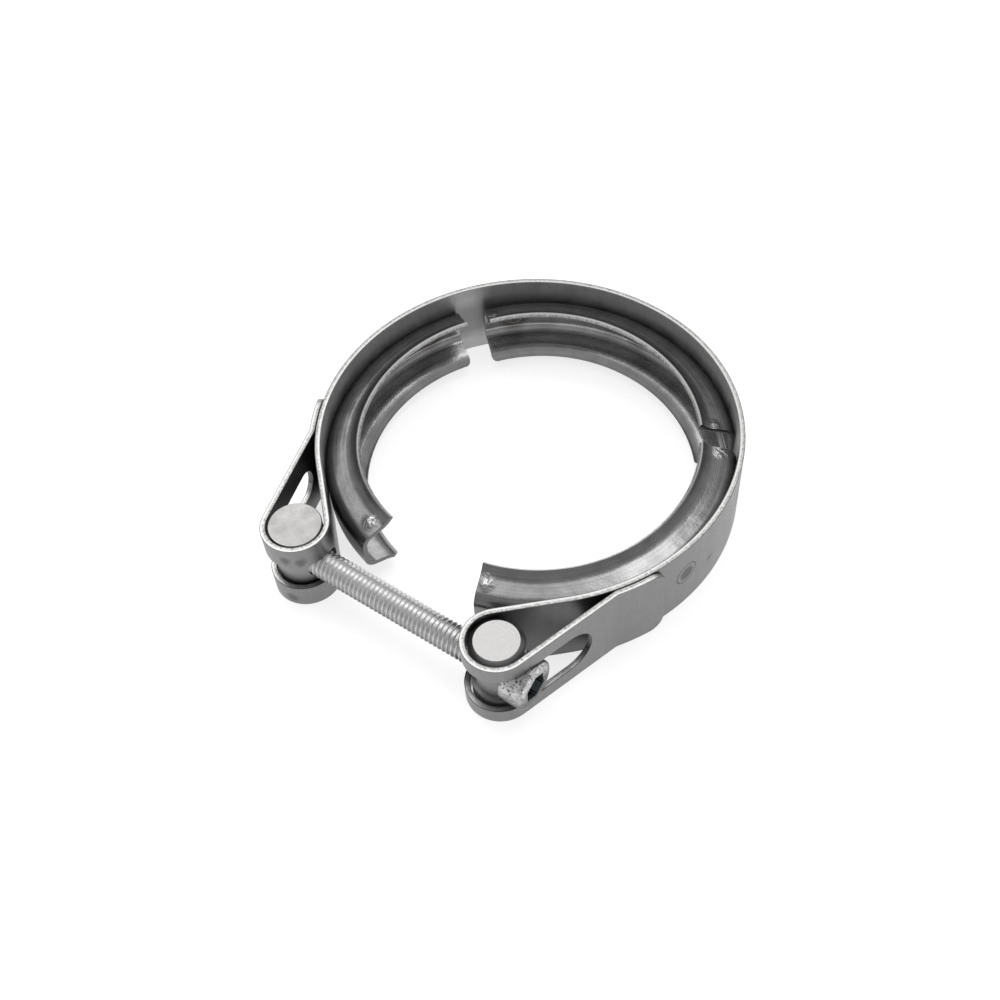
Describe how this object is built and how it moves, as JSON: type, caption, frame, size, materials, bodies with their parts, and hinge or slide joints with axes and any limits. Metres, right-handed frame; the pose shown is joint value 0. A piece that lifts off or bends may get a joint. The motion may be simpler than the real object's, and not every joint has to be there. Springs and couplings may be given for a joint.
{
  "type": "v band clamp",
  "caption": "Stainless V-band clamp: a split ring strap with V-shaped segments inside, folded into teardrop loops that hold trunnions and a tangential hex-socket screw.",
  "frame": {"origin": "on the ring's axis, half-way up the strap", "axes": "+Z along the ring's axis, -Y towards the opening and the screw, +X along the screw towards its head"},
  "size_m": [0.0856, 0.094, 0.0176],
  "materials": {
    "strap_steel": "satin rolled stainless strip",
    "segment_steel": "bright roll-formed stainless sheet",
    "trunnion_steel": "turned, bright end faces",
    "screw_steel": "cold-headed, zinc plated"
  },
  "bodies": {
    "band": {"clamp_strap": "strap_steel", "v_segment_left": "segment_steel", "v_segment_back": "segment_steel", "v_segment_right": "segment_steel"},
    "nut": {"nut_trunnion": "trunnion_steel"},
    "seat": {"seat_trunnion": "trunnion_steel"},
    "screw": {"clamp_screw": "screw_steel"}
  },
  "joints": [
    {"name": "nut_swivel", "type": "hinge", "parent": "band", "child": "nut", "pos_m": [-0.0235, -0.0445, 0], "axis": [0, 0, 1], "range_deg": [-0.25, 0.25]},
    {"name": "screw_turn", "type": "hinge", "parent": "nut", "child": "screw", "pos_m": [-0.0235, -0.0445, 0], "axis": [1, 0, 0], "continuous": true},
    {"name": "seat_swivel", "type": "hinge", "parent": "band", "child": "seat", "pos_m": [0.0235, -0.0445, 0], "axis": [0, 0, 1], "range_deg": [-1.8, 1.8]}
  ]
}
